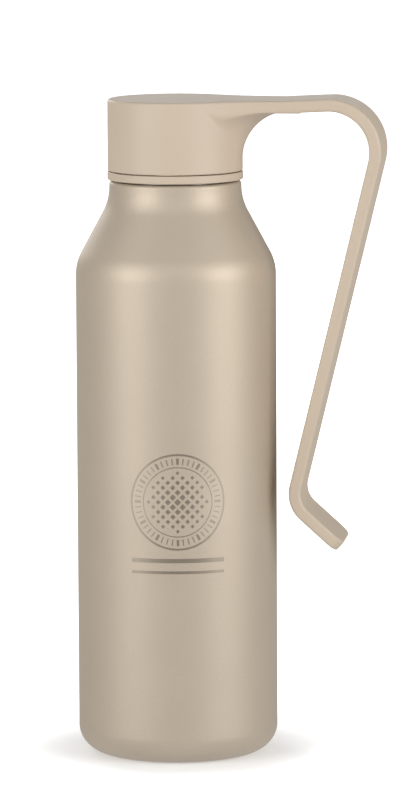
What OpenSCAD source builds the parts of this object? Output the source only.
// Insulated drinking bottle with a screw lid and a long strap hook.
// Millimetres. +Z is up, the origin is on the bottle's axis at its resting face,
// and the hook reaches towards +X.

/* [Flask] */
// Outer diameter of the barrel
body_d = 70; // [68:0.5:74]
// Height at which the line of the barrel meets the line of the shoulder
barrel_h = 172.7; // [160:0.1:180]
// Height of the shoulder cone between its two corner lines
shoulder_h = 22.2; // [20:0.1:26]
// Outer diameter of the straight neck
neck_d = 46.1; // [45.5:0.1:46.6]
// Height of the neck from the shoulder's upper corner line to its turned-in top
neck_h = 6.5; // [6:0.1:8]
// Radius of the corner at the base
base_round = 9.6; // [7:0.1:12]
// Radius where the barrel turns into the shoulder
shoulder_round = 16.5; // [8:0.1:18]
// Radius where the shoulder turns into the neck
neck_round = 18.8; // [8:0.1:19]
// Thickness of the steel sheet
wall = 0.5; // [0.4:0.05:0.6]
// Width of the evacuated space between the two walls
vacuum_gap = 3.35; // [3.2:0.05:3.5]
// Height of the drinking mouth above the neck's turned-in top
mouth_h = 16.6; // [16.6:0.1:18]

/* [Screw thread] */
// Axial travel in one turn of the two-start thread
thread_lead = 8; // [7:0.5:9]
// Turns that each thread ridge runs for
thread_turns = 1.1; // [0.8:0.05:1.1]
// Radial height of a ridge
thread_h = 1.0; // [0.8:0.05:1.1]
// Radial clearance between a ridge and the facing wall
thread_gap = 0.3; // [0.25:0.05:0.4]

/* [Lid] */
// Outer diameter of the cap
cap_d = 47.1; // [47:0.1:48]
// Height of the cap
cap_h = 25; // [24.8:0.1:26]
// Outer diameter of the ring below the cap
collar_d = 47.3; // [47:0.1:48]
// Height of the ring below the cap
collar_h = 2.8; // [2.5:0.1:3]
// Height of the groove between the ring and the cap
groove_h = 0.3; // [0.2:0.05:0.4]
// Gap between the ring and the neck
collar_gap = 0.5; // [0.4:0.05:0.7]
// Bevel round the cap's upper edge
cap_bevel = 0.6; // [0.3:0.1:1]

/* [Strap hook] */
// Width of the strap
strap_w = 26; // [24:0.5:28]
// Thickness of the strap
strap_t = 4.3; // [3.5:0.1:4.5]
// Rise of the strap between the cap and the bend, in degrees
bar_rise = 2.6; // [0:0.1:4]
// Distance from the bottle's axis to the outermost point of the bend
reach = 73.2; // [72:0.1:80]
// Outer radius of the bend over the top
bend_r = 18.5; // [16:0.1:22]
// Lean of the arm towards the bottle, in degrees
arm_tilt = 13.7; // [10:0.1:14]
// Length of the straight arm
arm_len = 116.3; // [80:0.1:118]
// Radius of the knee, along the middle of the strap
knee_r = 10; // [6:0.1:14]
// Angle of the foot below the horizontal, in degrees
foot_droop = 42; // [30:1:50]
// Length of the straight foot
foot_len = 16.7; // [10:0.1:18]
// Radius of the foot's two end corners
foot_round = 4; // [2:0.5:6]
// Radius of the flare from the strap's sides to the cap, seen from above
flare_r = 50; // [30:1:60]
// Radius of the fillet under the strap where it leaves the cap
gusset_r = 17; // [10:0.1:18]

/* [Hidden] */
$fn = 96;

body_r = body_d / 2;
neck_r = neck_d / 2;
neck_z = barrel_h + shoulder_h;
neck_top = neck_z + neck_h;
mouth_z = neck_top + mouth_h;
// Lean of the shoulder from the vertical, and how far a corner line drops for each unit of inset
shoulder_lean = atan2(body_r - neck_r, shoulder_h);
corner_drop = tan(shoulder_lean / 2);
neck_edge_round = 1.2;

// Inner flask: its wall is the outer outline moved in by this much
flask_inset = wall + vacuum_gap;
flask_floor = 7;
flask_neck_r = neck_r - flask_inset;
rim_round = 0.45;

// Base
lip_r = 23.4;
base_flange_r = 25.3;
base_plate_z = 2.3;
dimple_r = 4.5;
dimple_rise = 0.8;
seal_hole_r = 1;
seal_bead_r = 3.5;
seal_bead_low = 0.2;
cover_r = 22.6;
cover_t = 0.45;
cover_ring_r = 17;
cover_ring_bead = 0.25;
getter_pos = [-12, 0];
getter_r = 4;
getter_t = 1.5;
clip_t = 0.3;
foil_t = 0.1;
foil_gap = 0.05;
foil_low = 20;
foil_high = 162;

// Screw thread
thread_z = neck_top + 3;
thread_steps = 48;
thread_fade = 20;
thread_root_w = 1.9;
thread_crest_w = 0.8;
thread_bite = 0.25;

// Lid, from the ring upwards
collar_r = collar_d / 2;
collar_z = neck_top + collar_gap;
collar_bevel = 0.3;
cap_r = cap_d / 2;
cap_z = collar_z + collar_h + groove_h;
total_h = cap_z + cap_h;
cap_roof_t = 2.4;
cap_bottom_bevel = 0.3;
socket_r = flask_neck_r + thread_h + thread_gap;
socket_wall = 1.2;
socket_outer_r = socket_r + socket_wall;
weld_gap = 0.05;
cap_bore_r = socket_outer_r + weld_gap;
gasket_t = 1.3;
gasket_slack = 0.1;
gasket_lip_h = 1.4;
gasket_plug_gap = 0.15;
roof_z = mouth_z + gasket_t + 2 * gasket_slack;
roof_t = 1.5;
weld_ledge = 0.7;
foam_gap = 0.1;
foam_r = socket_outer_r - weld_ledge - foam_gap;
plug_r = 17.2;
plug_wall = 1.2;
plug_depth = 7.5;
plug_z = mouth_z - plug_depth;
disc_t = 0.4;
disc_rim_h = 2;

// Strap, along the middle of its thickness
strap_mid_r = bend_r - strap_t / 2;
strap_under = total_h - strap_t;
flare_angle = asin((strap_w / 2 + flare_r) / (cap_r + flare_r));
flare_c = (cap_r + flare_r) * [cos(flare_angle), sin(flare_angle)];
bar_start = [flare_c[0], total_h - strap_t / 2];
bend_x = reach - bend_r;
bend_z = bar_start[1] + (bend_x - bar_start[0]) * tan(bar_rise) - strap_mid_r / cos(bar_rise);
bend_c = [bend_x, bend_z];
bar_end = bend_c + strap_mid_r * [-sin(bar_rise), cos(bar_rise)];
arm_normal = [cos(arm_tilt), -sin(arm_tilt)];
arm_start = bend_c + strap_mid_r * arm_normal;
arm_end = arm_start + arm_len * [-sin(arm_tilt), -cos(arm_tilt)];
knee_c = arm_end + knee_r * arm_normal;
foot_start = knee_c + knee_r * [-sin(foot_droop), -cos(foot_droop)];

// Overlaps that keep joined shapes free of slits and thin edges: the tip of a corner sliver past
// its corner, the blending arcs of the cap past their tangent lines, neighbouring lengths of the
// strap, the gusset into the cap and the strap, and the bore's start below the cap
sliver_tip = 0.2;
blend_bite = 0.05;
strap_lap = 0.02;
gusset_bite = 1;
bore_start = 1;
// Height of a thread ridge at its very ends, as a share of its full height
thread_end = 0.05;

paint = [0.73, 0.68, 0.60];
plastic = [0.80, 0.73, 0.63];
steel = [0.72, 0.72, 0.72];
glass = [0.25, 0.30, 0.35];
getter_grey = [0.35, 0.35, 0.37];
copper = [0.80, 0.50, 0.35];
foam = [0.93, 0.92, 0.88];
rubber = [0.93, 0.93, 0.92];

// The sliver between a corner and the arc of radius r that rounds it, with its tip a little past
// the corner. along_a and along_b are unit vectors from the corner along its two edges.
module corner_sliver(corner, along_a, along_b, r) {
    half = acos(along_a * along_b) / 2;
    reach_t = r / tan(half);
    middle = (along_a + along_b) / norm(along_a + along_b);
    centre = corner + middle * r / sin(half);
    difference() {
        polygon([corner - sliver_tip * middle, corner + reach_t * along_a,
                 centre, corner + reach_t * along_b]);
        translate(centre) circle(r);
    }
}

// Half section of everything inside the flask's outline moved in by inset, from floor_z to top_z.
module flask_region(inset, floor_z, top_z, top_round) {
    r = body_r - inset;
    r_neck = neck_r - inset;
    barrel_corner = [r, barrel_h - inset * corner_drop];
    neck_corner = [r_neck, neck_z - inset * corner_drop];
    up_shoulder = [-sin(shoulder_lean), cos(shoulder_lean)];
    difference() {
        union() {
            polygon([[0, floor_z], [r, floor_z], barrel_corner, neck_corner,
                     [r_neck, top_z], [0, top_z]]);
            corner_sliver(neck_corner, -up_shoulder, [0, 1], neck_round + inset);
        }
        corner_sliver(barrel_corner, [0, -1], up_shoulder, shoulder_round - inset);
        corner_sliver([r, floor_z], [-1, 0], [0, 1], base_round - inset);
        if (top_round > 0) corner_sliver([r_neck, top_z], [-1, 0], [0, -1], top_round);
    }
}

// A ring of rectangular section, square to the axis.
module band(r_in, r_out, z_low, z_high) {
    translate([r_in, z_low]) square([r_out - r_in, z_high - z_low]);
}

// The same ring with bevels along its outer lower and upper edges.
module bevelled_band(r_in, r_out, z_low, z_high, low_bevel, high_bevel) {
    polygon([[r_in, z_low], [r_out - low_bevel, z_low], [r_out, z_low + low_bevel],
             [r_out, z_high - high_bevel], [r_out - high_bevel, z_high], [r_in, z_high]]);
}

// One helical ridge: its section swept up the helix, fading out at both ends.
module thread_ridge(root_r, crest_r) {
    count = round(thread_turns * thread_steps);
    step = 360 / thread_steps;
    function fade(i) = min(1, min(i, count - i) * step / thread_fade);
    function ring(i) =
        let (a = i * step, z = thread_z + thread_lead * a / 360, k = fade(i),
             crest = root_r + (crest_r - root_r) * max(k, thread_end),
             section = [[root_r, -thread_root_w / 2], [crest, -thread_crest_w / 2],
                        [crest, thread_crest_w / 2], [root_r, thread_root_w / 2]])
        [for (p = section) [p[0] * cos(a), p[0] * sin(a), z + p[1]]];
    points = [for (i = [0:count]) each ring(i)];
    sides = [for (i = [0:count - 1], j = [0:3])
        let (a = 4 * i + j, b = 4 * i + (j + 1) % 4) each [[a, b, b + 4], [a, b + 4, a + 4]]];
    // A crest inside its root turns the section over, so the faces turn with it
    outward = crest_r > root_r;
    ends = [[3, 2, 1, 0], [for (j = [0:3]) 4 * count + j]];
    faces = concat(sides, ends);
    polyhedron(points, outward ? faces : [for (f = faces) [for (k = [len(f) - 1:-1:0]) f[k]]]);
}

// The two ridges of a two-start thread.
module two_start_thread(root_r, crest_r) {
    for (start = [0, 180]) rotate(start) thread_ridge(root_r, crest_r);
}

// Part of a strap bend: a ring sector round centre, from one angle to another.
module bend_sector(centre, mid_r, from, to) {
    far = 2 * mid_r;
    translate(centre) intersection() {
        difference() {
            circle(mid_r + strap_t / 2);
            circle(mid_r - strap_t / 2);
        }
        polygon([[0, 0], for (a = [from, (from + to) / 2, to]) far * [cos(a), sin(a)]]);
    }
}

// A straight length of strap that starts at a point and runs at an angle.
module straight(start, angle, length) {
    translate(start) rotate(angle)
        translate([-strap_lap, -strap_t / 2]) square([length + strap_lap, strap_t]);
}

// Side view of the strap, from the bottle's axis to the end of the foot.
module strap_side() {
    straight([0, bar_start[1]], 0, bar_start[0] + strap_lap);
    straight(bar_start, bar_rise, norm(bar_end - bar_start) + strap_lap);
    bend_sector(bend_c, strap_mid_r, -arm_tilt, 90 + bar_rise);
    straight(arm_start, -90 - arm_tilt, arm_len + strap_lap);
    bend_sector(knee_c, knee_r, 180 - arm_tilt, 270 - foot_droop);
    straight(foot_start, -foot_droop, foot_len);
}

// What the rounding takes off the two corners at the end of the foot.
module foot_corners() {
    translate([foot_start[0], 0, foot_start[1]]) rotate([0, foot_droop, 0])
        linear_extrude(2 * strap_t, center = true) for (side = [-1, 1])
            corner_sliver([foot_len, side * strap_w / 2], [-1, 0], [0, -side], foot_round);
}

// The strap, bent from one flat bar.
module strap() {
    difference() {
        rotate([90, 0, 0]) linear_extrude(strap_w, center = true) strap_side();
        foot_corners();
    }
}

// The flare from the cap to the strap's sides, seen from above.
module flare_plan() {
    for (side = [-1, 1]) scale([1, side]) difference() {
        polygon([[0, 0], cap_r * [cos(flare_angle), sin(flare_angle)], flare_c, [flare_c[0], 0]]);
        translate(flare_c) circle(flare_r + blend_bite);
    }
}

// The fillet that runs down from the strap's underside to the cap's wall.
module gusset() {
    low = strap_under - gusset_r;
    intersection() {
        translate([0, 0, low]) linear_extrude(gusset_r + gusset_bite) {
            flare_plan();
            under_w = strap_w - 2 * blend_bite;
            translate([0, -under_w / 2]) square([cap_r + gusset_r, under_w]);
        }
        rotate_extrude() difference() {
            band(cap_r - gusset_bite, cap_r + gusset_r, low, strap_under + gusset_bite);
            translate([cap_r + gusset_r, low]) circle(gusset_r + blend_bite);
        }
    }
}

// Painted outer wall, drawn in one piece: base corner, barrel, shoulder and turned-in neck.
module outer_shell() {
    color(paint) rotate_extrude() difference() {
        flask_region(0, 0, neck_top, neck_edge_round);
        flask_region(wall, wall, neck_top - wall, neck_edge_round - wall);
        band(0, flask_neck_r, neck_z, neck_top);
        band(0, lip_r, 0, wall);
    }
}

// Inner wall that holds the drink, with its rolled rim and the ridges of the screw thread.
module inner_flask() {
    color(steel) {
        rotate_extrude() {
            difference() {
                flask_region(flask_inset, flask_floor, mouth_z - rim_round, 0);
                flask_region(flask_inset + wall, flask_floor + wall, mouth_z, 0);
            }
            translate([flask_neck_r - rim_round, mouth_z - rim_round]) circle(rim_round);
        }
        two_start_thread(flask_neck_r - thread_bite, flask_neck_r + thread_h);
    }
}

// Pressed disc that closes the outer wall, with a dimple round the pumping hole.
module outer_base() {
    plate_top = base_plate_z + wall;
    color(steel) rotate_extrude() {
        band(lip_r - wall, base_flange_r, wall, 2 * wall);
        band(lip_r - wall, lip_r, wall, plate_top);
        band(dimple_r, lip_r, base_plate_z, plate_top);
        band(dimple_r, dimple_r + wall, base_plate_z, plate_top + dimple_rise);
        band(seal_hole_r, dimple_r + wall, base_plate_z + dimple_rise, plate_top + dimple_rise);
    }
}

// Thin cover glued over the pumping hole, with one pressed ring.
module base_cover() {
    color(steel) rotate_extrude() difference() {
        band(0, cover_r, base_plate_z - cover_t, base_plate_z);
        translate([cover_ring_r, base_plate_z - cover_t]) circle(cover_ring_bead, $fn = 24);
    }
}

// Glass bead that fills the pumping hole.
module vacuum_seal() {
    color(glass) rotate_extrude() {
        band(0, seal_bead_r, base_plate_z + seal_bead_low, base_plate_z + dimple_rise);
        band(0, seal_hole_r, base_plate_z + dimple_rise, base_plate_z + dimple_rise + wall);
    }
}

// Sheet cup that holds the getter on the base disc, inside the vacuum.
module getter_clip() {
    low = base_plate_z + wall;
    color(steel) translate(getter_pos) rotate_extrude() {
        band(0, getter_r + clip_t, low, low + clip_t);
        band(getter_r, getter_r + clip_t, low, low + clip_t + getter_t);
    }
}

// Pressed pill that takes up stray gas in the vacuum.
module getter_pill() {
    low = base_plate_z + wall + clip_t;
    color(getter_grey) translate([each getter_pos, low]) cylinder(r = getter_r, h = getter_t);
}

// Copper foil wrapped round the inner flask.
module radiation_foil() {
    r_in = body_r - flask_inset + foil_gap;
    color(copper) rotate_extrude() band(r_in, r_in + foil_t, foil_low, foil_high);
}

// Moulded cap and strap hook, one piece.
module handle_cap() {
    ledge_z = roof_z + roof_t;
    color(plastic) difference() {
        union() {
            rotate_extrude()
                bevelled_band(0, cap_r, cap_z, total_h, cap_bottom_bevel, cap_bevel);
            strap();
            translate([0, 0, strap_under]) linear_extrude(strap_t) flare_plan();
            gusset();
        }
        rotate_extrude() {
            band(0, cap_bore_r, cap_z - bore_start, ledge_z);
            band(0, cap_bore_r - weld_ledge, cap_z - bore_start, total_h - cap_roof_t);
        }
    }
}

// Threaded socket with the ring that shows below the cap, and the hollow plug over the mouth.
module thread_insert() {
    roof_top = roof_z + roof_t;
    plug_in = plug_r - plug_wall;
    color(plastic) {
        rotate_extrude() {
            bevelled_band(socket_r, collar_r, collar_z, collar_z + collar_h,
                          collar_bevel, collar_bevel);
            band(socket_r, socket_outer_r, collar_z, roof_top);
            band(plug_in, socket_outer_r, roof_z, roof_top);
            band(plug_in, plug_r, plug_z, roof_top);
            band(0, plug_r, plug_z, plug_z + plug_wall);
        }
        rotate(-90) two_start_thread(socket_r + thread_bite, socket_r - thread_h);
    }
}

// Foam that fills the plug and the space under the cap's roof.
module foam_core() {
    color(foam) rotate_extrude() {
        band(0, plug_r - plug_wall - foam_gap, plug_z + plug_wall + foam_gap, roof_z + roof_t);
        band(0, foam_r, roof_z + roof_t, total_h - cap_roof_t - foam_gap);
    }
}

// Steel disc crimped over the end of the plug, facing the drink.
module plug_disc() {
    color(steel) rotate_extrude() {
        band(0, plug_r + disc_t, plug_z - disc_t, plug_z);
        band(plug_r, plug_r + disc_t, plug_z - disc_t, plug_z + disc_rim_h);
    }
}

// Silicone ring round the plug, which seals on the rim of the mouth.
module gasket() {
    r_in = plug_r + gasket_plug_gap;
    low = mouth_z + gasket_slack;
    color(rubber) rotate_extrude() {
        band(r_in, socket_r - thread_gap - gasket_slack, low, low + gasket_t);
        band(r_in, flask_neck_r - wall - rim_round - gasket_slack, low - gasket_lip_h, low);
    }
}

outer_shell();
inner_flask();
outer_base();
base_cover();
vacuum_seal();
getter_clip();
getter_pill();
radiation_foil();
handle_cap();
thread_insert();
foam_core();
plug_disc();
gasket();
